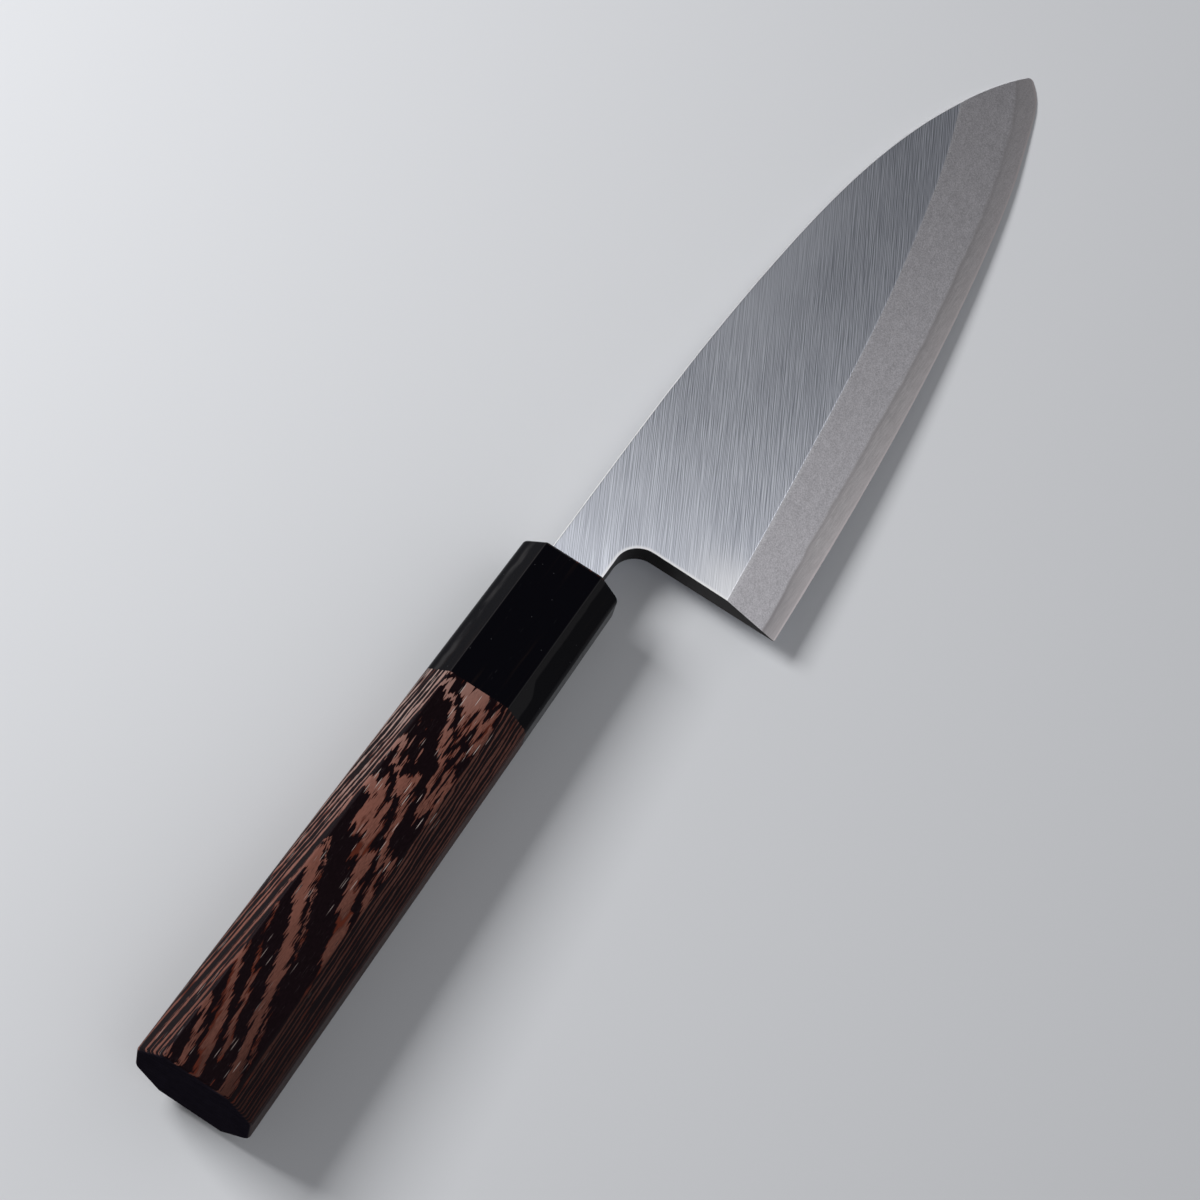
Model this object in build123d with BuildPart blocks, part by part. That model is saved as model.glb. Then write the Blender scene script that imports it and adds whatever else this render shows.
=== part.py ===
from build123d import *
import os
from math import sqrt

# Single-bevel kitchen knife lying on its back, with an octagonal wooden handle.
# X runs from the butt to the tip, Y from the cutting edge to the spine, Z out of the blade's flat face.
# The origin is the middle of the flat underside of the handle's wooden part.

# Handle, octagonal and slimmer toward the blade
handle_length = 130.4
ferrule_length = 35.2
butt_height = 25.4
butt_thickness = 20.0
butt_chamfer = 5.55
side_draw = 1.55
corner_round = 0.8
side_round = 2.5

# Core dowel in its bore
dowel_diameter = 12.0
bore_gap = 0.3
dowel_depth = 42.0

# Mouth of the ferrule and the filling round the neck
mouth_wall = 6.5
mouth_margin = 0.8
mouth_corner = 1.0
seal_stand = 0.7
seal_round = 0.3

# Neck and tang
neck_thickness = 5.4
neck_drop = 5.8
notch_round = 5.5
tang_height = 8.4
tang_end_height = 4.8
tang_end_thickness = 3.2
tang_length = 66.0
tang_end_gap = 2.5

# Blade seen from its flat face
blade_reach = 152.3
blade_height = 46.8
spine_rise = 6.05
heel_gap = 13.7
tip_round = 1.0
heel_round = 0.4

# Blade's thickness at the tip along the spine's line, and how far the flat face falls toward the edge
tip_thickness = 1.75
face_fall = 1.1
edge_land = 0.12
spine_round = 0.4

# Hard steel layer on the back
layer_at_heel = 1.2
layer_at_tip = 0.45
layer_end_gap = 6.5
layer_slant = 1.2

# Hollow ground into the back, inside a flat rim
rim_width = 3.2
hollow_depth = 0.35

# Spine's bend: shares of the blade's reach, with the drop as shares of its height
bend_share = 0.132
spine_shares = ((0.5, 0.043), (0.7315, 0.1405), (0.89, 0.2995))
tip_share = 0.5
tip_slope_share = 0.8

# Stations along the blade, and the rise of the edge and of the bevel's ridge above the heel's corner
station_shares = (0.0, 0.238, 0.504, 0.702, 0.8365, 0.917, 0.97, 1.0)
edge_shares = (0.0, 0.0393, 0.1156, 0.2028, 0.2863, 0.3566, 0.4184, 1 - tip_share)
ridge_shares = (0.26, 0.331, 0.4306, 0.544, 0.6517, 0.74, 0.8, 0.8365)

# Hollow's stations, with its width as shares of the room inside the rim, and its depth
hollow_shares = (0.03, 0.18, 0.33, 0.48, 0.63, 0.78, 0.93)
hollow_width_shares = (0.8, 0.95, 1.0, 1.0, 1.0, 0.9, 0.5)
hollow_depth_shares = (0.3, 0.9, 1.0, 1.0, 0.8, 0.5, 0.15)

# One overrun for every cut, and how often a search is halved
overrun = 3.0
halvings = 40

# Places along the handle, and how far its flats and corner flats stand from its axis at the butt
wood_length = handle_length - ferrule_length
butt_x = -wood_length / 2
joint_x = wood_length / 2
mouth_x = joint_x + ferrule_length
axis_z = (butt_thickness - side_draw * wood_length / handle_length) / 2
corner_reach = (butt_height / 2 + butt_thickness / 2 - butt_chamfer) / sqrt(2)
reaches = {(1, 0): butt_height / 2, (0, 1): butt_thickness / 2, (1, 1): corner_reach}

# Places on the blade
back_z = axis_z - neck_thickness / 2
neck_top_z = back_z + neck_thickness
spine_y = spine_rise
neck_y = -neck_drop
neck_middle_y = (spine_y + neck_y) / 2
heel_y = spine_rise - blade_height
heel_x = mouth_x + heel_gap
tip_x = heel_x + blade_reach
shoulder_x = mouth_x - mouth_wall
tang_x = shoulder_x - tang_length
dowel_x = joint_x - dowel_depth
layer_x = mouth_x + layer_end_gap


def face_z(x, y):
    """Height of the blade's flat face over a point of the plan."""
    along = (x - mouth_x) / (tip_x - mouth_x)
    across = (spine_y - y) / blade_height
    return neck_top_z - (neck_thickness - tip_thickness) * along - face_fall * across


def plan_points(rise_shares):
    """Points of a line given by its rise at each station."""
    return [
        (heel_x + blade_reach * station, heel_y + blade_height * rise)
        for station, rise in zip(station_shares, rise_shares)
    ]


def y_on(curve, x):
    """Y of a curve that runs along X, found by halving."""
    low, high = 0, 1
    for _ in range(halvings):
        middle = (low + high) / 2
        if (curve @ middle).X < x:
            low = middle
        else:
            high = middle
    return (curve @ low).Y


def long_edges(bar, length, at_sides):
    """Edges along the handle: those that meet its sides, or those that meet its upper face and underside."""
    corner_y = (butt_height - butt_chamfer) / 2
    return bar.edges().filter_by(
        lambda edge: edge.length > length / 2 and (abs((edge @ 0.5).Y) > corner_y) == at_sides
    )


def past_both_ends(points):
    """The same points with one more at each end, straight on by the overrun."""
    first, second = Vector(points[0]), Vector(points[1])
    last, before = Vector(points[-1]), Vector(points[-2])
    lead = first + (first - second).normalized() * overrun
    tail = last + (last - before).normalized() * overrun
    return [lead, *points, tail]


edge_points = plan_points(edge_shares)
ridge_points = plan_points(ridge_shares)
bend_point = (heel_x + blade_reach * bend_share, spine_y)
spine_points = [
    (heel_x + blade_reach * station, spine_y - blade_height * drop)
    for station, drop in (*spine_shares, (1, tip_share))
]

# The flat face's plane, through two points of the spine's line and one over the heel's side
face_origin = Vector(mouth_x, spine_y, face_z(mouth_x, spine_y))
face_along = Vector(tip_x, spine_y, face_z(tip_x, spine_y)) - face_origin
face_across = Vector(mouth_x, heel_y, face_z(mouth_x, heel_y)) - face_origin
face_plane = Plane(origin=face_origin, x_dir=face_along, z_dir=face_across.cross(face_along))

# Whole blade before it is divided into its two metals
with BuildPart() as whole_blade:
    with BuildSketch(Plane.XY.offset(back_z)) as plan:
        with BuildLine():
            spine_curve = Spline(bend_point, *spine_points, tangents=[(1, 0), (1, -tip_slope_share)])
            edge_curve = Spline(*edge_points)
            Polyline(
                bend_point,
                (shoulder_x, spine_y),
                (shoulder_x, tang_height / 2),
                (tang_x, tang_end_height / 2),
                (tang_x, -tang_end_height / 2),
                (shoulder_x, -tang_height / 2),
                (shoulder_x, neck_y),
                (heel_x, neck_y),
                (heel_x, heel_y),
            )
        make_face()
        notch_corner = plan.vertices().sort_by_distance((heel_x, neck_y, back_z))[0]
        fillet(notch_corner, radius=notch_round)
    extrude(amount=neck_thickness)
    tip_edge = whole_blade.edges().filter_by(Axis.Z).sort_by(Axis.X)[-1]
    fillet(tip_edge, radius=tip_round)
    heel_edge = whole_blade.edges().filter_by(Axis.Z).sort_by(Axis.Y)[0]
    fillet(heel_edge, radius=heel_round)

    # Flat face, falling toward the tip and toward the edge
    split(bisect_by=face_plane, keep=Keep.BOTTOM)

    # Tang thinner toward its end, above and below
    with BuildSketch(Plane.XZ):
        for side in (1, -1):
            with BuildLine():
                Polyline(
                    (shoulder_x, axis_z + side * neck_thickness / 2),
                    (tang_x - overrun, axis_z + side * tang_end_thickness / 2),
                    (tang_x - overrun, axis_z + side * neck_thickness),
                    (shoulder_x, axis_z + side * neck_thickness),
                    close=True,
                )
            make_face()
    extrude(amount=blade_height, both=True, mode=Mode.SUBTRACT)

    # Bevel, a ruled surface over the edge's line and the ridge's line, carried past both
    low_points = []
    high_points = []
    for (x, edge_y), (_, ridge_y) in zip(edge_points, ridge_points):
        edge_z = back_z + edge_land
        slope = (face_z(x, ridge_y) - edge_z) / (ridge_y - edge_y)
        low_points.append((x, edge_y - overrun, edge_z - slope * overrun))
        high_points.append((x, ridge_y + overrun, face_z(x, ridge_y) + slope * overrun))
    low_line = Spline(*past_both_ends(low_points), mode=Mode.PRIVATE)
    high_line = Spline(*past_both_ends(high_points), mode=Mode.PRIVATE)
    bevel_face = Face.make_surface_from_curves(low_line, high_line)
    extrude(bevel_face, amount=neck_thickness + overrun, dir=(0, 0, 1), mode=Mode.SUBTRACT)

    # Spine's upper corner, rounded along the flat face
    flat_face = whole_blade.faces().filter_by(face_plane).sort_by(SortBy.AREA)[-1]
    spine_edges = flat_face.edges().filter_by(
        lambda edge: (edge @ 0.5).X > heel_x and (edge @ 0.5).Y > neck_y
    )
    fillet(spine_edges, radius=spine_round)

    # Hollow in the back, lofted from shallow arcs inside the rim
    for station, width, depth in zip(hollow_shares, hollow_width_shares, hollow_depth_shares):
        x = heel_x + blade_reach * station
        rim_low_y = y_on(edge_curve, x) + rim_width
        rim_high_y = (y_on(spine_curve, x) if x > bend_point[0] else spine_y) - rim_width
        middle_y = (rim_low_y + rim_high_y) / 2
        half_width = (rim_high_y - rim_low_y) / 2 * width
        with BuildSketch(Plane.YZ.offset(x)):
            with BuildLine():
                Polyline(
                    (middle_y - half_width, back_z),
                    (middle_y - half_width, back_z - overrun),
                    (middle_y + half_width, back_z - overrun),
                    (middle_y + half_width, back_z),
                )
                ThreePointArc(
                    (middle_y + half_width, back_z),
                    (middle_y, back_z + hollow_depth * depth),
                    (middle_y - half_width, back_z),
                )
            make_face()
    loft(mode=Mode.SUBTRACT)

# Side view of the steel layer, from its end on the neck to past the tip
with BuildSketch(Plane.XZ) as layer_profile:
    with BuildLine():
        Polyline(
            (layer_x, back_z - overrun),
            (layer_x, back_z),
            (layer_x + layer_slant, back_z + layer_at_heel),
            (tip_x, back_z + layer_at_tip),
            (tip_x + overrun, back_z + layer_at_tip),
            (tip_x + overrun, back_z - overrun),
            close=True,
        )
    make_face()

# Soft iron body with the tang
with BuildPart() as blade_body:
    add(whole_blade.part)
    extrude(layer_profile.sketch, amount=blade_height, both=True, mode=Mode.SUBTRACT)

# Hard steel layer on the back, with the cutting edge
with BuildPart() as edge_steel:
    add(whole_blade.part)
    extrude(layer_profile.sketch, amount=blade_height, both=True, mode=Mode.INTERSECT)

# Round bar planed to the handle's eight tapered flats
with BuildPart() as octagon_bar:
    with BuildSketch(Plane.YZ.offset(butt_x)):
        with Locations((0, axis_z)):
            Circle(butt_height)
    extrude(amount=handle_length)
    for y_side in (-1, 0, 1):
        for z_side in (-1, 0, 1):
            if y_side or z_side:
                outward = Vector(0, y_side, z_side).normalized()
                foot = Vector(butt_x, 0, axis_z) + outward * reaches[abs(y_side), abs(z_side)]
                flat = Plane(origin=foot, z_dir=Vector(side_draw, 0, 0) + outward * handle_length)
                split(bisect_by=flat, keep=Keep.BOTTOM)

# Wooden part of the handle, bored for the dowel
with BuildPart() as handle_body:
    add(octagon_bar.part)
    split(bisect_by=Plane.YZ.offset(joint_x), keep=Keep.BOTTOM)
    fillet(long_edges(handle_body, wood_length, at_sides=True), radius=side_round)
    butt_rim = handle_body.faces().sort_by(Axis.X)[0].edges()
    fillet([*butt_rim, *long_edges(handle_body, wood_length, at_sides=False)], radius=corner_round)
    with BuildSketch(Plane.YZ.offset(joint_x)):
        with Locations((0, axis_z)):
            Circle(dowel_diameter / 2 + bore_gap)
    extrude(amount=-dowel_depth, mode=Mode.SUBTRACT)

# Horn ferrule, with a blind bore for the dowel and a mouth for the neck
with BuildPart() as ferrule:
    add(octagon_bar.part)
    split(bisect_by=Plane.YZ.offset(joint_x), keep=Keep.TOP)
    fillet(long_edges(ferrule, ferrule_length, at_sides=True), radius=side_round)
    front_rim = ferrule.faces().sort_by(Axis.X)[-1].edges()
    fillet([*front_rim, *long_edges(ferrule, ferrule_length, at_sides=False)], radius=corner_round)
    with BuildSketch(Plane.YZ.offset(joint_x)):
        with Locations((0, axis_z)):
            Circle(dowel_diameter / 2 + bore_gap)
    extrude(amount=ferrule_length - mouth_wall, mode=Mode.SUBTRACT)
    with BuildSketch(Plane.YZ.offset(mouth_x)) as mouth:
        with Locations((neck_middle_y, axis_z)):
            RectangleRounded(
                spine_y - neck_y + 2 * mouth_margin, neck_thickness + 2 * mouth_margin, radius=mouth_corner
            )
    extrude(amount=-mouth_wall, mode=Mode.SUBTRACT)

# Dowel across the joint, slotted for the tang
with BuildPart() as core_dowel:
    with BuildSketch(Plane.YZ.offset(dowel_x)):
        with Locations((0, axis_z)):
            Circle(dowel_diameter / 2)
    extrude(amount=shoulder_x - dowel_x)
    add(whole_blade.part, mode=Mode.SUBTRACT)
    with BuildSketch(Plane.YZ.offset(tang_x)):
        with Locations((0, axis_z)):
            Rectangle(tang_end_height, tang_end_thickness)
    extrude(amount=-tang_end_gap, mode=Mode.SUBTRACT)

# Filling of the mouth round the neck, standing a little proud
with BuildPart() as mouth_seal:
    extrude(mouth.sketch, amount=-mouth_wall)
    extrude(mouth.sketch, amount=seal_stand)
    proud_rim = mouth_seal.faces().sort_by(Axis.X)[-1].edges()
    fillet(proud_rim, radius=seal_round)
    add(whole_blade.part, mode=Mode.SUBTRACT)

os.makedirs("parts", exist_ok=True)
blade_body.part.label = "blade_body"
export_step(blade_body.part, "parts/blade_body.step")
edge_steel.part.label = "edge_steel"
export_step(edge_steel.part, "parts/edge_steel.step")
handle_body.part.label = "handle_body"
export_step(handle_body.part, "parts/handle_body.step")
ferrule.part.label = "ferrule"
export_step(ferrule.part, "parts/ferrule.step")
core_dowel.part.label = "core_dowel"
export_step(core_dowel.part, "parts/core_dowel.step")
mouth_seal.part.label = "mouth_seal"
export_step(mouth_seal.part, "parts/mouth_seal.step")
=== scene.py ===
from math import cos, pi, radians, sin

import bpy
from bpy.props import FloatProperty, FloatVectorProperty, PointerProperty
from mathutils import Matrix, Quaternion, Vector


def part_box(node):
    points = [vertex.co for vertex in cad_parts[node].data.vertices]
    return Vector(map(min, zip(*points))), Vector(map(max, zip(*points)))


bl_info = {
    "name": "Deba knife finishes",
    "version": (1, 0, 0),
    "blender": (4, 5, 0),
    "location": "3D View > Sidebar > Knife",
    "description": "Gives the knife its steel, horn and wood, and sets the studio round it",
    "category": "Material",
}

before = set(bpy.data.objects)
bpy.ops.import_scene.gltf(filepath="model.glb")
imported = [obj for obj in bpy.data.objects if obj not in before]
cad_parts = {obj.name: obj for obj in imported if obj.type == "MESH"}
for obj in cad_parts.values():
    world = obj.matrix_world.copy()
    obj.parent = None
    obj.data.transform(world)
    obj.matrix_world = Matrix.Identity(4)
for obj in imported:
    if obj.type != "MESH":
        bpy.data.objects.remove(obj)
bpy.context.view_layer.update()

# One millimetre in Blender's metres
MM = 0.001

# Places that the finishes follow, in millimetres, read from the pieces themselves
BUTT_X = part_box("handle_body")[0].x / MM
JOINT_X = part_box("handle_body")[1].x / MM
MOUTH_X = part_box("ferrule")[1].x / MM
AXIS_Z = (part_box("handle_body")[0].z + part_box("handle_body")[1].z) / 2 / MM
BACK_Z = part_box("edge_steel")[0].z / MM
TIP_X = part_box("edge_steel")[1].x / MM
SPINE_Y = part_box("blade_body")[1].y / MM
NECK_TOP_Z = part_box("blade_body")[1].z / MM

# Blade: its reach from heel to tip, the neck's lower side, and the round in the notch's corner
BLADE_REACH = 151.8
HEEL_X = TIP_X - BLADE_REACH
NECK_Y = -5.8
NOTCH_ROUND = 5.5

# The flat face falls toward the tip and toward the edge, in millimetres for each millimetre
FLAT_FALL_X = 0.02199
FLAT_FALL_Y = 0.0235

# The bevel starts on the land of the cutting edge, and its ridge comes down toward the tip
LAND_Z = BACK_Z + 0.12
RIDGE_Z = 10.95
RIDGE_FALL_X = 0.0181

# The handle's upper side: its rise over the axis at the butt, and its fall toward the ferrule
TOP_RISE = 10.0
TOP_FALL = 0.0119

# Places of the wood's bands in their stack: the broad pale flame, the thin pale line under it,
# and the thick dark band that the line runs in
FLAME = 10.70
THIN_LINE = FLAME - 0.455
DARK_BAND = (FLAME - 1.50, FLAME - 0.25)

# Shares of the flat face's red, green and blue: dark hairlines are a little bluer, pale ones less
DARK_HAIRLINE = (0.59, 0.60, 0.63)
PALE_HAIRLINE = (1.41, 1.40, 1.37)

# Small marks that have no setting of their own
DUSTY_FIBRE = (0.05, 0.048, 0.05)
HORN_PIT = (0.06, 0.06, 0.065)
MOUTH_RUST = (0.10, 0.026, 0.018)
DOWEL_DARK = (0.42, 0.29, 0.17)
DOWEL_PALE = (0.58, 0.43, 0.28)
FILLING_DARK = (0.006, 0.005, 0.006)
FILLING_PALE = (0.018, 0.014, 0.013)
FILLING_RUST = (0.09, 0.020, 0.012)

# Stretches on the blade and the handle, each from where a mark starts to where it is full
CRISP_HAIRLINES_X = (96.0, 130.0)
SPINE_GLEAM_X = (132.0, 160.0)
SPINE_GLEAM_END_X = (185.0, 215.0)
SPINE_GLEAM_Y = (-10.0, 3.0)
HEEL_GLEAM_REACH = (3.0, 14.0)
HEEL_GLEAM_Y = (-30.0, -12.0)
DUST_AND_SHEEN_FRONT_X = (-20.0, 45.0)
DUST_AND_SHEEN_FRONT_Y = (6.5, 9.0)
DUSTY_PORES_X = (-60.0, 90.0)
DUSTY_PORES_Y = (0.0, 9.0)

# Lying still, the knife touches the floor with the ferrule's lower front edge and with the tip
REST_BEHIND_MOUTH = 0.8
REST_UNDER_AXIS = 8.47
TIP_Y = -17.6

# Studio: places in millimetres, the floor's reach and the key light's distance in metres
FLOOR_REACH = 4.0
KEY_AIM = (100.0, -10.0, 5.0)
KEY_TOWARD = (-0.11, 0.76, 0.64)
KEY_DISTANCE = 0.8
SKY_ON_EDGE_SIDE = (0.67, 0.675, 0.69)
SKY_ON_SPINE_SIDE = (0.14, 0.14, 0.145)
CAMERA_PLACE = (-225.83, -87.63, 627.35)
CAMERA_AIM = (82.41, -7.63, 9.0)
CAMERA_ROLL = radians(19.466)
CAMERA_LENS = 105.0
CAMERA_SENSOR = 36.0


class Wire:
    """A socket of a node tree. Python's operators on it add Math nodes."""

    def __init__(self, finish, socket):
        self.finish = finish
        self.socket = socket

    def out(self, name):
        """Another output of the same node."""
        return Wire(self.finish, self.socket.node.outputs[name])

    def math(self, operation, *values):
        """A Math node on this value and the given ones."""
        sockets = dict(enumerate((self, *values)))
        return self.finish.node("ShaderNodeMath", {"operation": operation}, sockets)

    def __add__(self, other):
        return self.math("ADD", other)

    __radd__ = __add__

    def __mul__(self, other):
        return self.math("MULTIPLY", other)

    def __sub__(self, other):
        return self.math("SUBTRACT", other)

    def __rsub__(self, other):
        return self.finish.node("ShaderNodeMath", {"operation": "SUBTRACT"}, {0: other, 1: self})

    def __truediv__(self, other):
        return self.math("DIVIDE", other)

    def sine(self):
        return self.math("SINE")

    def size(self):
        """The value without its sign."""
        return self.math("ABSOLUTE")

    def above(self, low, high):
        """0 below low, 1 above high, and a soft step between them."""
        sockets = {"Value": self, "From Min": low, "From Max": high}
        settings = {"interpolation_type": "SMOOTHSTEP"}
        return self.finish.node("ShaderNodeMapRange", settings, sockets)

    def below(self, low, high):
        """1 below low, 0 above high, and a soft step between them."""
        return 1 - self.above(low, high)


class Finish:
    """Builds one node tree from Python values and wires."""

    def __init__(self, tree):
        self.tree = tree
        tree.nodes.clear()

    def node(self, kind, settings, sockets, output=0):
        """Adds a node of that type: first its settings, then its sockets' values or links."""
        made = self.tree.nodes.new(kind)
        for name, value in settings.items():
            setattr(made, name, value)
        for name, value in sockets.items():
            if isinstance(value, Wire):
                self.tree.links.new(value.socket, made.inputs[name])
            else:
                made.inputs[name].default_value = value
        return Wire(self, made.outputs[output]) if made.outputs else None

    def principled(self, sockets):
        return self.node("ShaderNodeBsdfPrincipled", {}, sockets)

    def place(self):
        """X, Y and Z on the object, in millimetres."""
        on_object = self.node("ShaderNodeTexCoord", {}, {}, "Object")
        sockets = {0: on_object, "Scale": 1 / MM}
        in_mm = self.node("ShaderNodeVectorMath", {"operation": "SCALE"}, sockets)
        parts = self.node("ShaderNodeSeparateXYZ", {}, {0: in_mm})
        return parts, parts.out("Y"), parts.out("Z")

    def facing(self):
        """How far the surface faces the spine's side and how far up, each from -1 to 1."""
        normal = self.node("ShaderNodeNewGeometry", {}, {}, "Normal")
        parts = self.node("ShaderNodeSeparateXYZ", {}, {0: normal})
        return parts.out("Y"), parts.out("Z")

    def noise(self, x, y, z, detail=0.0, roughness=0.5):
        """Smooth noise from 0 to 1 whose bumps are about one unit across."""
        spot = self.node("ShaderNodeCombineXYZ", {}, {0: x, 1: y, 2: z})
        sockets = {"Vector": spot, "Scale": 1.0, "Detail": detail, "Roughness": roughness}
        return self.node("ShaderNodeTexNoise", {}, sockets)

    def cells(self, x, y, z):
        """Distance to the nearest of scattered points, about one to a unit."""
        spot = self.node("ShaderNodeCombineXYZ", {}, {0: x, 1: y, 2: z})
        sockets = {"Vector": spot, "Scale": 1.0}
        return self.node("ShaderNodeTexVoronoi", {}, sockets, "Distance")

    def blend(self, share, first, second):
        """A colour from first, at share 0, to second, at share 1."""
        sockets = {0: share, 6: first, 7: second}
        return self.node("ShaderNodeMix", {"data_type": "RGBA"}, sockets, 2)

    def tint(self, level, first, second):
        """A colour that follows a level from 0 to 1, flattened out a little past both ends."""
        return self.blend(level.above(-0.1, 1.1), first, second)

    def relief(self, height, depth):
        """A normal from a height that runs from 0 to 1, over a depth in millimetres."""
        sockets = {"Height": height, "Distance": depth * MM}
        return self.node("ShaderNodeBump", {}, sockets, "Normal")

    def surface(self, shader):
        self.node("ShaderNodeOutputMaterial", {}, {"Surface": shader})


def rgba(colour):
    return (*colour, 1.0)


def shade(colour, share):
    """A colour made darker or paler, by one share or by one each for red, green and blue."""
    shares = share if isinstance(share, tuple) else (share,) * 3
    return rgba([part * by for part, by in zip(colour, shares)])


def under_top(x, z):
    """Depth under the handle's upper side."""
    return AXIS_Z + TOP_RISE - (x - BUTT_X) * TOP_FALL - z


def new_finish(name):
    material = bpy.data.materials.new(name)
    material.use_nodes = True
    return material, Finish(material.node_tree)


def dress(node, material):
    """Puts a material in every slot of a CAD piece."""
    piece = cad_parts[node]
    for place in piece.material_slots:
        place.material = material


def place_lamp(name, aim, toward, distance, size, power):
    """Stands a square soft light off a place, turned toward it."""
    direction = Vector(toward).normalized()
    light = bpy.data.lights.new(name, "AREA")
    light.shape = "SQUARE"
    light.size = size
    light.energy = power
    lamp = bpy.data.objects.new(name, light)
    lamp.location = Vector(aim) * MM + direction * distance
    lamp.rotation_mode = "QUATERNION"
    lamp.rotation_quaternion = (-direction).to_track_quat("-Z", "Y")
    bpy.context.scene.collection.objects.link(lamp)


class BladeSettings(bpy.types.PropertyGroup):
    flat_colour: FloatVectorProperty(
        name="Flat face",
        description="Colour of the brushed flat face",
        subtype="COLOR",
        min=0,
        max=1,
        default=(0.597, 0.620, 0.683),
    )
    bevel_colour: FloatVectorProperty(
        name="Bevel",
        description="Colour of the blasted bevel",
        subtype="COLOR",
        min=0,
        max=1,
        default=(0.605, 0.588, 0.612),
    )
    layer_colour: FloatVectorProperty(
        name="Hard layer",
        description="Colour of the hard steel where the bevel cuts it",
        subtype="COLOR",
        min=0,
        max=1,
        default=(0.535, 0.510, 0.515),
    )
    line_colour: FloatVectorProperty(
        name="Layer's line",
        description="Colour of the line where soft iron meets hard steel",
        subtype="COLOR",
        min=0,
        max=1,
        default=(0.34, 0.32, 0.33),
    )
    # The ground edge's own polish, drawn paler as a painted highlight
    edge_polish_and_highlight_colour: FloatVectorProperty(
        name="Cutting edge",
        description="Colour of the narrow ground edge",
        subtype="COLOR",
        min=0,
        max=1,
        default=(0.72, 0.66, 0.66),
    )
    # Pale colour of painted highlights on the notch's rims, near the heel, along the ridge and on
    # the rounded spine, which is also polished
    polish_and_highlight_colour: FloatVectorProperty(
        name="Rubbed rims",
        description="Colour of the rounded spine and of the flat face's rims round the notch",
        subtype="COLOR",
        min=0,
        max=1,
        default=(0.90, 0.90, 0.91),
    )
    # Painted shade: the walls of the heel and the notch are drawn near black
    wall_shade_colour: FloatVectorProperty(
        name="Heel and notch walls",
        description="Colour of the walls left dark round the notch",
        subtype="COLOR",
        min=0,
        max=1,
        default=(0.009, 0.007, 0.007),
    )
    brush_angle: FloatProperty(
        name="Brushing",
        description="Direction of the hairlines, turned from the knife's length toward the spine",
        subtype="ANGLE",
        default=radians(26),
    )
    hairline_width: FloatProperty(
        name="Hairline width",
        description="Width of the finest hairlines",
        subtype="DISTANCE",
        unit="LENGTH",
        default=0.13 * MM,
    )
    blast_grain: FloatProperty(
        name="Blasted grain",
        description="Width of the grains on the bevel",
        subtype="DISTANCE",
        unit="LENGTH",
        default=0.30 * MM,
    )


class WoodSettings(bpy.types.PropertyGroup):
    pale_colour: FloatVectorProperty(
        name="Pale bands",
        description="Colour of the pale bands",
        subtype="COLOR",
        min=0,
        max=1,
        default=(0.113, 0.045, 0.033),
    )
    dark_colour: FloatVectorProperty(
        name="Dark bands",
        description="Colour of the dark bands",
        subtype="COLOR",
        min=0,
        max=1,
        default=(0.0024, 0.0010, 0.0015),
    )
    fringe_colour: FloatVectorProperty(
        name="Fringe",
        description="Colour of the red edge between the bands",
        subtype="COLOR",
        min=0,
        max=1,
        default=(0.085, 0.018, 0.009),
    )
    # Also the whitish colour of the painted sheen on the pale bands
    pore_and_sheen_colour: FloatVectorProperty(
        name="Dusty pores",
        description="Colour of the pores that hold pale dust",
        subtype="COLOR",
        min=0,
        max=1,
        default=(0.42, 0.34, 0.31),
    )
    butt_colour: FloatVectorProperty(
        name="Butt",
        description="Colour of the sealed end grain",
        subtype="COLOR",
        min=0,
        max=1,
        default=(0.0100, 0.0083, 0.0125),
    )
    band_spacing: FloatProperty(
        name="Band spacing",
        description="Thickness of one dark band and one pale band together",
        subtype="DISTANCE",
        unit="LENGTH",
        default=0.9 * MM,
    )


class HornSettings(bpy.types.PropertyGroup):
    horn_colour: FloatVectorProperty(
        name="Horn",
        description="Colour of the horn",
        subtype="COLOR",
        min=0,
        max=1,
        default=(0.0020, 0.0019, 0.0031),
    )
    streak_colour: FloatVectorProperty(
        name="Streaks",
        description="Colour of the horn's faint streaks",
        subtype="COLOR",
        min=0,
        max=1,
        default=(0.016, 0.010, 0.008),
    )
    # Colour of the pale streak, and of the painted highlights and painted reflection on the
    # facets
    streak_and_highlight_colour: FloatVectorProperty(
        name="Rubbed edges",
        description="Colour of the lines where the horn's facets meet",
        subtype="COLOR",
        min=0,
        max=1,
        default=(0.022, 0.021, 0.022),
    )
    gloss: FloatProperty(
        name="Roughness",
        description="Roughness of the polished horn",
        subtype="FACTOR",
        min=0,
        max=1,
        default=0.20,
    )


class StudioSettings(bpy.types.PropertyGroup):
    floor_colour: FloatVectorProperty(
        name="Floor",
        description="Colour of the floor",
        subtype="COLOR",
        min=0,
        max=1,
        default=(0.62, 0.63, 0.65),
    )
    key_power: FloatProperty(
        name="Key light",
        description="Power of the soft light on the spine's side",
        unit="POWER",
        min=0,
        default=6.2,
    )
    key_size: FloatProperty(
        name="Key light's width",
        description="Width of the soft light",
        subtype="DISTANCE",
        unit="LENGTH",
        min=0.01,
        default=0.32,
    )


def distance_from_notch(x, y):
    """How far a place on the flat face is from the notch's wall."""
    past_corner_x = (x - (HEEL_X - NOTCH_ROUND)).math("MAXIMUM", 0.0)
    past_corner_y = (y - (NECK_Y - NOTCH_ROUND)).math("MAXIMUM", 0.0)
    squares = past_corner_x * past_corner_x + past_corner_y * past_corner_y
    return squares.math("SQRT") - NOTCH_ROUND


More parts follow.
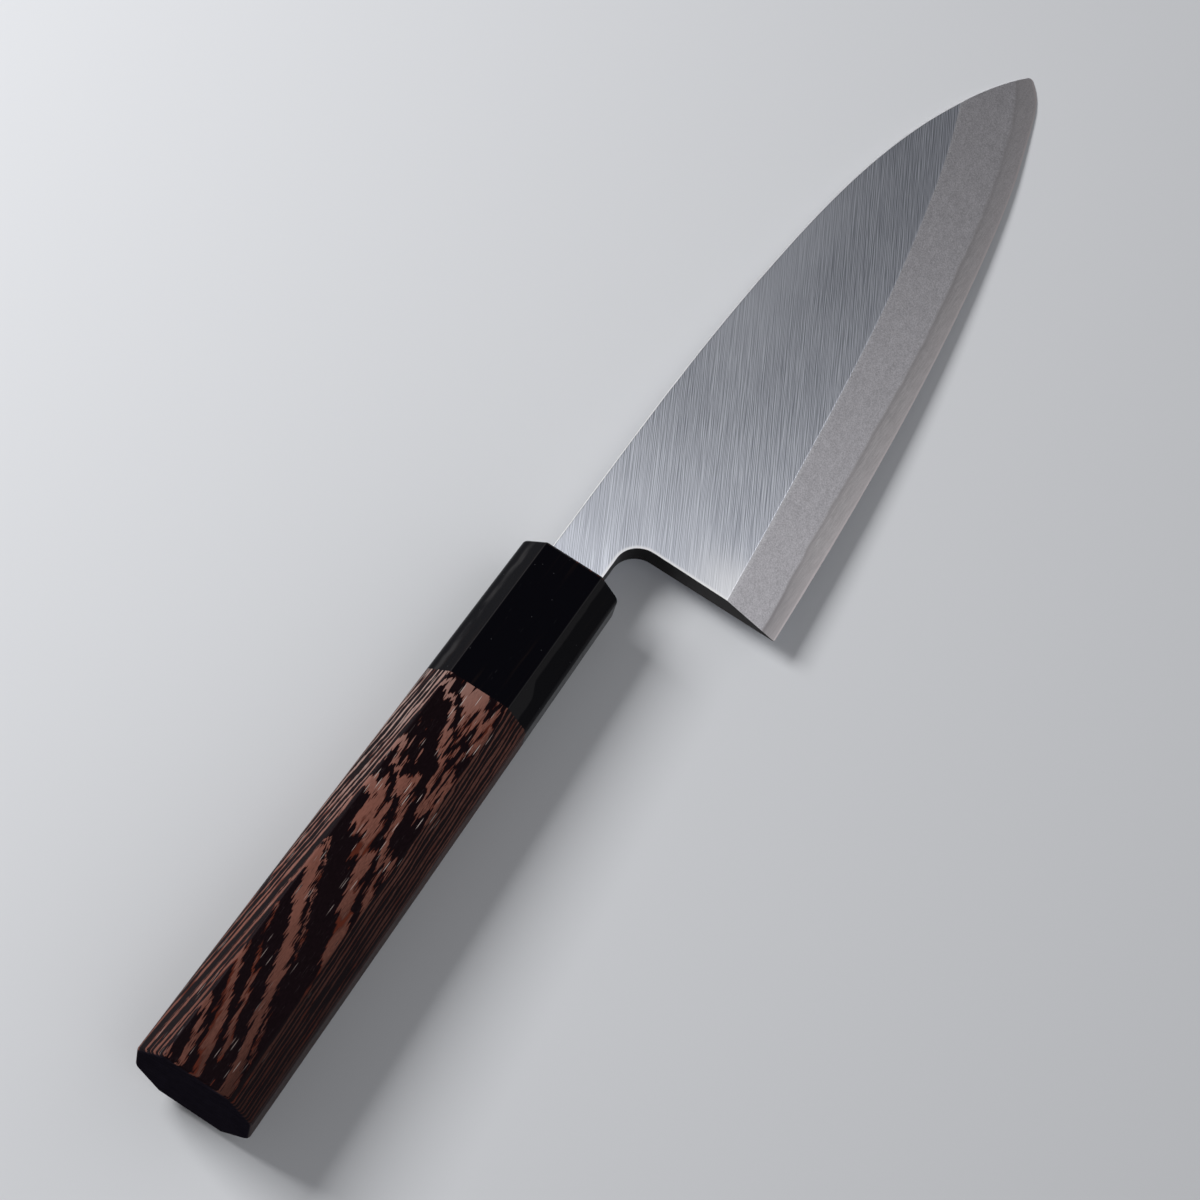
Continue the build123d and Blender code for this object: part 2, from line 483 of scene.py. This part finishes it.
def brushed_steel(finish, settings, x, y, z):
    """Shader of the flat face: hairlines in three widths, and pale painted highlights round the
    notch, near the heel and near the spine.
    """
    turn = settings.brush_angle
    width = settings.hairline_width / MM
    along = x * cos(turn) + y * sin(turn)
    across = y * cos(turn) - x * sin(turn)

    # The difference of two neighbouring samples leaves thin lines and takes the blotches out
    beside = finish.noise(along / 9, across / width + 1.0, z)
    fine = (finish.noise(along / 9, across / width, z) - beside) * 0.8 + 0.5
    middle = finish.noise(along / 20, across / 0.7, z + 9, 1.0, 0.6)
    broad = finish.noise(along / 30, across / 4.5, z + 17, 2.0, 0.5)
    scratch = finish.noise(along / 12, across / width, z + 31).above(0.73, 0.80)
    clouds = finish.noise(x / 22, y / 14, z + 40, 2.0)
    contrast = x.above(*CRISP_HAIRLINES_X) * 2.2 + 1.4
    sheen = (fine - 0.5) * contrast + (middle - 0.5) * 0.45
    sheen = sheen + (broad - 0.5) * 0.25 + (clouds - 0.5) * 0.35

    flat = settings.flat_colour
    lighter = shade(flat, PALE_HAIRLINE)
    pale_and_highlight = rgba(settings.polish_and_highlight_colour)
    colour = finish.tint(sheen + scratch * 0.5 + 0.5, shade(flat, DARK_HAIRLINE), lighter)
    # Painted highlight: the flat face drawn paler near the spine, partway toward the tip
    spine_highlight = y.above(*SPINE_GLEAM_Y) * x.above(*SPINE_GLEAM_X)
    spine_highlight = spine_highlight * x.below(*SPINE_GLEAM_END_X)
    colour = finish.blend(spine_highlight * 0.5, colour, lighter)
    from_notch = distance_from_notch(x, y)
    # Painted highlight: the flat face drawn paler near the notch, on the edge's side
    heel_highlight = from_notch.below(*HEEL_GLEAM_REACH) * y.below(*HEEL_GLEAM_Y)
    colour = finish.blend(heel_highlight * 0.6, colour, pale_and_highlight)
    # Painted highlight: a thin pale rim along the notch's wall
    notch_rim_highlight = (from_notch + (fine - 0.5) * 0.5).below(0.15, 0.75)
    colour = finish.blend(notch_rim_highlight * 0.85, colour, pale_and_highlight)

    # The reflection is stretched across the hairlines
    brush = finish.node("ShaderNodeCombineXYZ", {}, {0: -sin(turn), 1: cos(turn), 2: 0.0})
    return finish.principled(
        {
            "Base Color": colour,
            "Metallic": 1.0,
            "Roughness": 0.50 + (clouds - 0.5) * 0.01,
            "Anisotropic": 0.98,
            "Tangent": brush,
            "Normal": finish.relief(fine, 0.002),
        }
    )


def blasted_bevel(finish, settings, x, y, z, speck, ripple, mottle):
    """Colour of the bevel: blasted soft iron down to a wavy line, then hard steel to the edge."""
    rise = RIDGE_Z - LAND_Z - (x - HEEL_X) * RIDGE_FALL_X
    up_bevel = (z - LAND_Z) / rise
    bevel = settings.bevel_colour
    level = (speck - 0.5) * 1.4 + (ripple - 0.5) * 0.6 + (mottle - 0.5) * 0.6 + 0.5
    soft_iron = finish.tint(level, shade(bevel, 0.76), shade(bevel, 1.24))

    # Height of the layer's line, which waves and swells a little along the belly and at the tip
    wave = finish.noise(x / 9, 3.0, 5.0, 3.0, 0.6) - 0.5
    belly = x.above(HEEL_X, HEEL_X + 24) * x.below(HEEL_X + 40, HEEL_X + 90)
    at_tip = x.above(TIP_X - 16, TIP_X - 5)
    under = wave * 0.07 + 0.255 + belly * 0.05 + at_tip * 0.06 - up_bevel
    under = under + (ripple - 0.5) * 0.02
    hard = under.above(-0.035, 0.020)
    line = under.above(-0.016, 0.006) * under.below(0.010, 0.070)

    # The hard layer: streaks along the edge, darker at its line and at the heel
    streak = finish.noise((x - y * 0.3) / 2.6, (y + x * 0.02) / 0.22, z / 2, 2.0, 0.6)
    layer = settings.layer_colour
    level = (streak - 0.5) * 1.2 + (speck - 0.5) * 0.5 + 0.5
    hard_steel = finish.tint(level, shade(layer, 0.78), shade(layer, 1.22))
    at_heel = x.below(HEEL_X + 4, HEEL_X + 26)
    dark_share = line * 0.45 + at_heel * 0.5
    hard_steel = finish.blend(dark_share, hard_steel, rgba(settings.line_colour))
    # The hard steel turns a little toward the edge's colour close to the cutting edge
    edge_polish_and_highlight_colour = rgba(settings.edge_polish_and_highlight_colour)
    hard_steel = finish.blend(up_bevel.below(0.02, 0.20) * 0.30, hard_steel, edge_polish_and_highlight_colour)

    # Toward the tip the two steels look more alike
    alike = x.above(TIP_X - 70, TIP_X - 20) * 0.4
    steel = finish.blend(hard * (1 - alike), soft_iron, hard_steel)
    # A narrow pale strip on the cutting edge: its own polish with a painted highlight
    steel = finish.blend(up_bevel.below(0.012, 0.035) * 0.85, steel, edge_polish_and_highlight_colour)
    # Painted highlight: a thin pale line along the ridge
    ridge = (up_bevel + (speck - 0.5) * 0.10 + (ripple - 0.5) * 0.04).above(0.92, 1.0)
    return finish.blend(ridge * 0.34, steel, rgba(settings.polish_and_highlight_colour))


class KNIFE_OT_blade_steel(bpy.types.Operator):
    """Brushes the flat face and blasts the bevel, and shows the hard layer along the edge"""

    bl_idname = "knife.blade_steel"
    bl_label = "Blade steel"

    def execute(self, context):
        settings = context.scene.knife_blade
        material, finish = new_finish("blade_steel")
        x, y, z = finish.place()
        face_y, face_z = finish.facing()

        # Which finish lies where: the flat face is known by its plane, the rest by how it faces
        flat_z = NECK_TOP_Z - (x - MOUTH_X) * FLAT_FALL_X - (SPINE_Y - y) * FLAT_FALL_Y
        is_flat = (flat_z - z).below(0.015, 0.045)
        is_back = face_z.below(-0.8, -0.6)
        at_spine = face_y.above(0.10, 0.22)
        before_bevel = x.below(HEEL_X + 1.0, HEEL_X + 1.6)
        under_spine = y.below(SPINE_Y - 1.6, SPINE_Y - 1.2)
        is_wall = face_z.size().below(0.25, 0.5) * before_bevel * under_spine

        grain = settings.blast_grain / MM
        speck = finish.noise(x / grain, y / grain, z / grain, 1.0, 0.6)
        mottle = finish.noise(x / 2.4, y / 1.4, z + 3, 3.0, 0.65)
        ripple = finish.noise((x + y) / 0.9, (y - x) / 0.35, z + 8, 1.0, 0.6)
        steel = blasted_bevel(finish, settings, x, y, z, speck, ripple, mottle)

        # Ground back, polished spine drawn paler as a painted highlight, and walls of the heel
        # and the notch drawn near black as painted shade
        flat = settings.flat_colour
        wheel_marks = finish.noise(x / 30, y / 0.3, z + 60, 3.0, 0.6).above(0.25, 0.75)
        ground = finish.blend(wheel_marks, shade(flat, 0.80), shade(flat, 1.10))
        steel = finish.blend(is_back, steel, ground)
        steel = finish.blend(at_spine, steel, rgba(settings.polish_and_highlight_colour))
        steel = finish.blend(is_wall, steel, rgba(settings.wall_shade_colour))
        other_steel = finish.principled(
            {
                "Base Color": steel,
                "Metallic": 1.0,
                "Roughness": 0.38 - is_back * 0.06 + at_spine * 0.14 + (speck - 0.5) * 0.12,
                "Normal": finish.relief((speck * 0.7 + mottle * 0.3) * (1 - is_back), 0.020),
            }
        )
        flat_steel = brushed_steel(finish, settings, x, y, z)
        sockets = {0: is_flat, 1: other_steel, 2: flat_steel}
        finish.surface(finish.node("ShaderNodeMixShader", {}, sockets))
        dress("blade_body", material)
        dress("edge_steel", material)
        return {"FINISHED"}


class KNIFE_OT_horn_ferrule(bpy.types.Operator):
    """Polishes the horn ferrule"""

    bl_idname = "knife.horn_ferrule"
    bl_label = "Horn ferrule"

    def execute(self, context):
        settings = context.scene.knife_horn
        material, finish = new_finish("black_horn")
        x, y, z = finish.place()
        face_y, face_z = finish.facing()
        pale_and_highlight = rgba(settings.streak_and_highlight_colour)

        # The horn's streaks, a few dusty fibres near the wood, and small pits
        streak = finish.noise(x / 26, y / 1.3, z / 1.3, 3.0, 0.6).above(0.56, 0.76)
        fibre = finish.noise(x / 2.4, y / 0.20, z / 0.20, 1.0).above(0.70, 0.80)
        fibre = fibre * finish.noise(x / 5, y / 3, z / 3 + 6).above(0.52, 0.62)
        pit = finish.cells(x / 2.1, y / 2.1, z / 2.1).below(0.035, 0.055)
        haze = finish.noise(x / 9, y / 4, z / 4, 3.0)
        streak_colour = rgba(settings.streak_colour)
        colour = finish.blend(streak * 0.3, rgba(settings.horn_colour), streak_colour)
        near_joint = x.below(JOINT_X + 1, JOINT_X + 9)
        colour = finish.blend(fibre * (near_joint * 0.5 + 0.1), colour, rgba(DUSTY_FIBRE))
        colour = finish.blend(pit * 0.6, colour, rgba(HORN_PIT))

        # Pale streak along the spine side's facet, and painted highlight lines where the facets
        # meet
        meander = finish.noise(x / 8, 2.0, 7.0, 2.0) - 0.5
        from_streak = (z - AXIS_Z - 5.9 + meander * 1.6).size()
        pale_streak = face_y.above(0.6, 0.68) * from_streak.below(0.15, 0.75)
        colour = finish.blend(pale_streak * haze.above(0.35, 0.6), colour, pale_and_highlight)
        facet_edge_highlight = face_z.above(0.76, 0.82) * face_z.below(0.93, 0.97)
        colour = finish.blend(facet_edge_highlight * (haze * 0.5 + 0.6), colour, pale_and_highlight)

        # Painted reflection: a greyer band under the upper edge of the far facet, wider beside
        # the wood
        band_low = x.below(JOINT_X + 5, JOINT_X + 9) * 1.4 + 0.9 + meander * 0.8
        in_band = (under_top(x, z) - band_low).below(0.0, 0.35)
        far_facet = face_y.below(-0.68, -0.6) * face_z.above(0.5, 0.6)
        colour = finish.blend(far_facet * in_band * 0.6, colour, pale_and_highlight)

        # Rusty specks round the mouth
        rust = finish.noise(x / 0.8, y / 0.8, z / 0.8, 1.0).above(0.56, 0.64)
        rust = rust * x.above(MOUTH_X - 0.7, MOUTH_X - 0.4)
        rust = rust * (y + 0.5).size().below(6.2, 6.8) * z.above(AXIS_Z + 6.5, AXIS_Z + 7.5)
        colour = finish.blend(rust * 0.7, colour, rgba(MOUTH_RUST))
        horn = finish.principled(
            {
                "Base Color": colour,
                "Roughness": settings.gloss + (haze - 0.5) * 0.14 + pit * 0.3 + fibre * 0.1,
                "IOR": 1.54,
                "Specular IOR Level": 0.035,
                "Normal": finish.relief(1 - pit * 0.8 - fibre * 0.3 + streak * 0.05, 0.03),
            }
        )
        finish.surface(horn)
        dress("ferrule", material)
        return {"FINISHED"}


def band_level(finish, x, y, depth, below_top, toward_ferrule, spacing):
    """How far a place lies inside a pale band, above 0, or inside a dark one, below 0."""
    # Height in the stack of bands: leaning planes, waves, and teeth along the grain
    swell = finish.noise(x / 18, y / 7, depth / 7, 1.0, 0.5) - 0.5
    waves = finish.noise(x / 9 + 11, y / 3.4, depth / 3.4, 1.0, 0.5) - 0.5
    lenses = finish.noise(x / 10 + 20, y / 1.8, depth / 1.8, 1.0, 0.5) - 0.5
    teeth = finish.noise(x / 7.5, y / 0.70, depth / 0.70 + 4, 2.0, 0.6) - 0.5
    fibres = finish.noise(x / 3.2 + 5, y / 0.20, depth / 0.20, 1.0, 0.6) - 0.5
    on_facet = below_top.above(0.2, 1.2)
    calm = 1 - on_facet * 0.5
    rolling = swell * (toward_ferrule * 0.8 + 0.3) + waves * (toward_ferrule * 1.2 + 0.3)
    stack = depth + y * 0.19 - x * (y * 0.002 + 0.052)
    stack = stack + rolling * calm
    stack = stack + teeth * (toward_ferrule * 0.45 + 0.75) * calm
    stack = stack + fibres * (0.40 - on_facet * 0.15)
    stack = stack - below_top * 0.28

    # Three rhythms that don't meet, so that no two bands are alike
    phase = (stack - FLAME) * (2 * pi / spacing)
    swing = (phase + 1.57).sine()
    swing = swing + (phase * 1.71 + 1.3).sine() * 0.45 + (phase * 0.43 + 1.6).sine() * 0.40
    swing = swing + toward_ferrule * 0.25 + lenses * 2.2 - 0.72

    # One broad flame, a thick dark band under it, and a thin line in that band
    flame = stack.above(FLAME - 0.32, FLAME - 0.20) * stack.below(FLAME + 0.15, FLAME + 0.30)
    low, high = DARK_BAND
    dark_band = stack.above(low, low + 0.30) * stack.below(high - 0.15, high)
    thin_line = stack.above(THIN_LINE - 0.085, THIN_LINE - 0.025)
    thin_line = thin_line * stack.below(THIN_LINE + 0.025, THIN_LINE + 0.085)
    return swing + flame * 1.2 - dark_band * 1.1 + thin_line * 2.4


class KNIFE_OT_dark_wood(bpy.types.Operator):
    """Gives the handle its dark wood, with bands almost flat under the upper side"""

    bl_idname = "knife.dark_wood"
    bl_label = "Handle wood"

    def execute(self, context):
        settings = context.scene.knife_wood
        material, finish = new_finish("dark_banded_wood")
        x, y, z = finish.place()
        depth = z - AXIS_Z
        below_top = under_top(x, z).math("MAXIMUM", 0.0)
        toward_ferrule = x.above(BUTT_X + 35, JOINT_X - 25)
        spacing = settings.band_spacing / MM
        level = band_level(finish, x, y, depth, below_top, toward_ferrule, spacing)
        pale = level.above(-0.10, 0.12)
        fringe = level.above(-0.27, -0.13) * (1 - pale)

        # Pale bands: fine flecks, painted lighter toward the ferrule and on the spine's side,
        # with dusty grain and a painted sheen toward the front
        fleck = finish.noise(x / 0.9, y / 0.12, depth / 0.12, 1.0)
        tone = finish.noise(x / 12, y / 2.5, depth / 2.5, 2.0)
        lit = settings.pale_colour
        pores = rgba(settings.pore_and_sheen_colour)
        # Painted light: the pale bands made lighter toward the ferrule and on the spine's side,
        # where the key light falls
        painted_light_ramp = x.above(BUTT_X - 20, JOINT_X) * 0.74 + y * 0.05
        pale_tone_and_light = (fleck - 0.5) * (toward_ferrule * 0.7 + 0.7) + (tone - 0.5) * 0.75
        pale_tone_and_light = (pale_tone_and_light + painted_light_ramp + 0.13).above(-0.4, 1.4)
        pale_colour = finish.blend(pale_tone_and_light, shade(lit, 0.30), shade(lit, 1.70))
        # Dusty grain and painted sheen: the pale bands blend toward the whitish pore colour
        # toward the ferrule, on the spine's side and most at the front
        at_front = x.above(*DUST_AND_SHEEN_FRONT_X) * y.above(*DUST_AND_SHEEN_FRONT_Y)
        dust_and_sheen = (x * 0.02 + y * 0.06).above(0.5, 1.4) * 0.25 + at_front * 0.3
        pale_colour = finish.blend(dust_and_sheen, pale_colour, pores)

        # Dark bands, and the red edge between the two
        dark = settings.dark_colour
        dark_colour = finish.blend(fleck.above(0.3, 0.9), rgba(dark), shade(dark, 2.4))
        dark_colour = finish.blend(fringe * 0.85, dark_colour, rgba(settings.fringe_colour))
        colour = finish.blend(pale, dark_colour, pale_colour)

        # Pores: short dashes along the grain, some dusty and some empty
        dash = finish.cells(x / 9.5, y / 0.53, depth / 0.53).below(0.11, 0.18)
        dusty = finish.noise(x / 9 + 3, y / 2.6, depth / 2.6, 1.0)
        dusty = dusty + x.above(*DUSTY_PORES_X) * 0.16 + y.above(*DUSTY_PORES_Y) * 0.05
        dusty = dusty.above(0.50, 0.64) * y.above(-9.0, -7.5)
        hole = finish.cells(x / 6.0 + 7, y / 0.45, depth / 0.45 + 3).below(0.10, 0.18)
        colour = finish.blend(hole * 0.85, colour, rgba(dark))
        colour = finish.blend(dash * dusty * (toward_ferrule * 0.45 + 0.4), colour, pores)
        height = pale * 0.25 - dash * 0.9 - hole * 0.9 + fleck * 0.25
        wood = finish.principled(
            {
                "Base Color": colour,
                "Roughness": 0.40 + (fleck - 0.5) * 0.16 + pale * 0.08,
                "IOR": 1.45,
                "Specular IOR Level": 0.1,
                "Specular Tint": (1.0, 0.72, 0.80, 1.0),
                "Normal": finish.relief(height, 0.035),
            }
        )

        # Sealed end grain on the butt: the same bands, faint, with pores and sanding marks
        pore = finish.cells(x / 4, y / 0.42, depth / 0.42).below(0.16, 0.30)
        sanding = finish.noise(x / 2, (y + depth) / 3.5, (y - depth) / 0.16, 1.0)
        cloud = finish.noise(x / 6 + 3, y / 4, depth / 4, 2.0)
        sealed = settings.butt_colour
        level = pale * 0.45 + (cloud - 0.5) * 0.6 + (sanding - 0.5) * 0.5 + 0.32
        butt_colour = finish.tint(level, shade(sealed, 0.74), shade(sealed, 1.42))
        butt = finish.principled(
            {
                "Base Color": finish.blend(pore * 0.3, butt_colour, rgba(dark)),
                "Roughness": 0.7,
                "Specular IOR Level": 0.0,
                "Normal": finish.relief(sanding * 0.3 - pore, 0.03),
            }
        )
        on_butt = x.below(BUTT_X + 0.10, BUTT_X + 0.35)
        finish.surface(finish.node("ShaderNodeMixShader", {}, {0: on_butt, 1: wood, 2: butt}))
        dress("handle_body", material)
        return {"FINISHED"}


class KNIFE_OT_inner_pieces(bpy.types.Operator):
    """Gives the dowel its plain wood and the ferrule's mouth its filling"""

    bl_idname = "knife.inner_pieces"
    bl_label = "Dowel and filling"

    def execute(self, context):
        material, finish = new_finish("plain_dowel_wood")
        x, y, z = finish.place()
        lines = finish.noise(x / 14, y / 0.5, z / 0.5, 3.0)
        colour = finish.blend(lines.above(0.3, 0.7), rgba(DOWEL_DARK), rgba(DOWEL_PALE))
        normal = finish.relief(lines, 0.05)
        wood = finish.principled({"Base Color": colour, "Roughness": 0.7, "Normal": normal})
        finish.surface(wood)
        dress("core_dowel", material)

        material, finish = new_finish("mouth_filling")
        x, y, z = finish.place()
        lumps = finish.noise(x / 0.8, y / 0.8, z / 0.8, 3.0)
        rust = finish.noise(x / 1.2, y / 1.2, z / 1.2 + 5, 1.0).above(0.58, 0.70)
        colour = finish.blend(lumps, rgba(FILLING_DARK), rgba(FILLING_PALE))
        colour = finish.blend(rust * 0.7, colour, rgba(FILLING_RUST))
        filling = finish.principled(
            {
                "Base Color": colour,
                "Roughness": 0.55 + (lumps - 0.5) * 0.3,
                "Normal": finish.relief(lumps, 0.08),
            }
        )
        finish.surface(filling)
        dress("mouth_seal", material)
        return {"FINISHED"}


class KNIFE_OT_studio(bpy.types.Operator):
    """Lays the floor under the knife, and sets the lights and the camera"""

    bl_idname = "knife.studio"
    bl_label = "Studio"

    def execute(self, context):
        settings = context.scene.knife_studio

        # The floor leans to meet both places that the knife rests on
        front = Vector((MOUTH_X - REST_BEHIND_MOUTH, 0.0, AXIS_Z - REST_UNDER_AXIS)) * MM
        tip = Vector((TIP_X, TIP_Y, BACK_Z)) * MM
        slope = (tip.z - front.z) / (tip.x - front.x)
        corners = []
        for side_x, side_y in ((-1, -1), (1, -1), (1, 1), (-1, 1)):
            off_x, off_y = side_x * FLOOR_REACH, side_y * FLOOR_REACH
            corners.append((front.x + off_x, off_y, front.z + slope * off_x))
        mesh = bpy.data.meshes.new("floor")
        mesh.from_pydata(corners, [], [(0, 1, 2, 3)])
        floor = bpy.data.objects.new("floor", mesh)
        context.scene.collection.objects.link(floor)
        material, finish = new_finish("pale_floor")
        matt = finish.principled(
            {
                "Base Color": rgba(settings.floor_colour),
                "Roughness": 0.85,
                "Specular IOR Level": 0.2,
            }
        )
        finish.surface(matt)
        mesh.materials.append(material)

        # World: pale on the cutting edge's side, dim on the spine's side behind the key light
        world = bpy.data.worlds.new("studio_world")
        world.use_nodes = True
        finish = Finish(world.node_tree)
        direction = finish.node("ShaderNodeTexCoord", {}, {}, "Generated")
        toward_spine = finish.node("ShaderNodeSeparateXYZ", {}, {0: direction}, "Y")
        to_dim = toward_spine.above(-0.48, 0.0)
        sky = finish.blend(to_dim, rgba(SKY_ON_EDGE_SIDE), rgba(SKY_ON_SPINE_SIDE))
        glow = finish.node("ShaderNodeBackground", {}, {"Color": sky, "Strength": 1.0})
        finish.node("ShaderNodeOutputWorld", {}, {"Surface": glow})
        context.scene.world = world

        size, power = settings.key_size, settings.key_power
        place_lamp("key_light", KEY_AIM, KEY_TOWARD, KEY_DISTANCE, size, power)

        # Camera, turned about its own axis so that the blade points up and to the right
        place = Vector(CAMERA_PLACE) * MM
        aim = Vector(CAMERA_AIM) * MM
        camera = bpy.data.cameras.new("camera")
        camera.sensor_width = CAMERA_SENSOR
        camera.lens = CAMERA_LENS
        camera.clip_start = 0.01
        camera.clip_end = 30.0
        eye = bpy.data.objects.new("camera", camera)
        eye.location = place
        eye.rotation_mode = "QUATERNION"
        roll = Quaternion((0.0, 0.0, 1.0), CAMERA_ROLL)
        eye.rotation_quaternion = (aim - place).to_track_quat("-Z", "Y") @ roll
        context.scene.collection.objects.link(eye)
        context.scene.camera = eye
        context.scene.view_settings.view_transform = "Standard"
        return {"FINISHED"}


class KNIFE_PT_panel(bpy.types.Panel):
    """Lists the knife's settings and steps in the sidebar"""

    bl_label = "Deba knife"
    bl_idname = "KNIFE_PT_panel"
    bl_space_type = "VIEW_3D"
    bl_region_type = "UI"
    bl_category = "Knife"

    def draw(self, context):
        for group, steps in GROUPS.items():
            box = self.layout.box()
            settings = getattr(context.scene, group)
            for name in settings.bl_rna.properties.keys():
                if name not in ("rna_type", "name"):
                    box.prop(settings, name)
            for step in steps:
                box.operator(step.bl_idname)


GROUPS = {
    "knife_blade": (KNIFE_OT_blade_steel,),
    "knife_horn": (KNIFE_OT_horn_ferrule,),
    "knife_wood": (KNIFE_OT_dark_wood, KNIFE_OT_inner_pieces),
    "knife_studio": (KNIFE_OT_studio,),
}
SETTINGS = {
    "knife_blade": BladeSettings,
    "knife_horn": HornSettings,
    "knife_wood": WoodSettings,
    "knife_studio": StudioSettings,
}
STEPS = [step for steps in GROUPS.values() for step in steps]
CLASSES = (*SETTINGS.values(), *STEPS, KNIFE_PT_panel)


def register():
    for item in CLASSES:
        bpy.utils.register_class(item)
    for name, item in SETTINGS.items():
        setattr(bpy.types.Scene, name, PointerProperty(type=item))


def unregister():
    for name in SETTINGS:
        delattr(bpy.types.Scene, name)
    for item in reversed(CLASSES):
        bpy.utils.unregister_class(item)


def main():
    register()
    bpy.ops.knife.blade_steel()
    bpy.ops.knife.horn_ferrule()
    bpy.ops.knife.dark_wood()
    bpy.ops.knife.inner_pieces()
    bpy.ops.knife.studio()


if __name__ == "__main__":
    main()
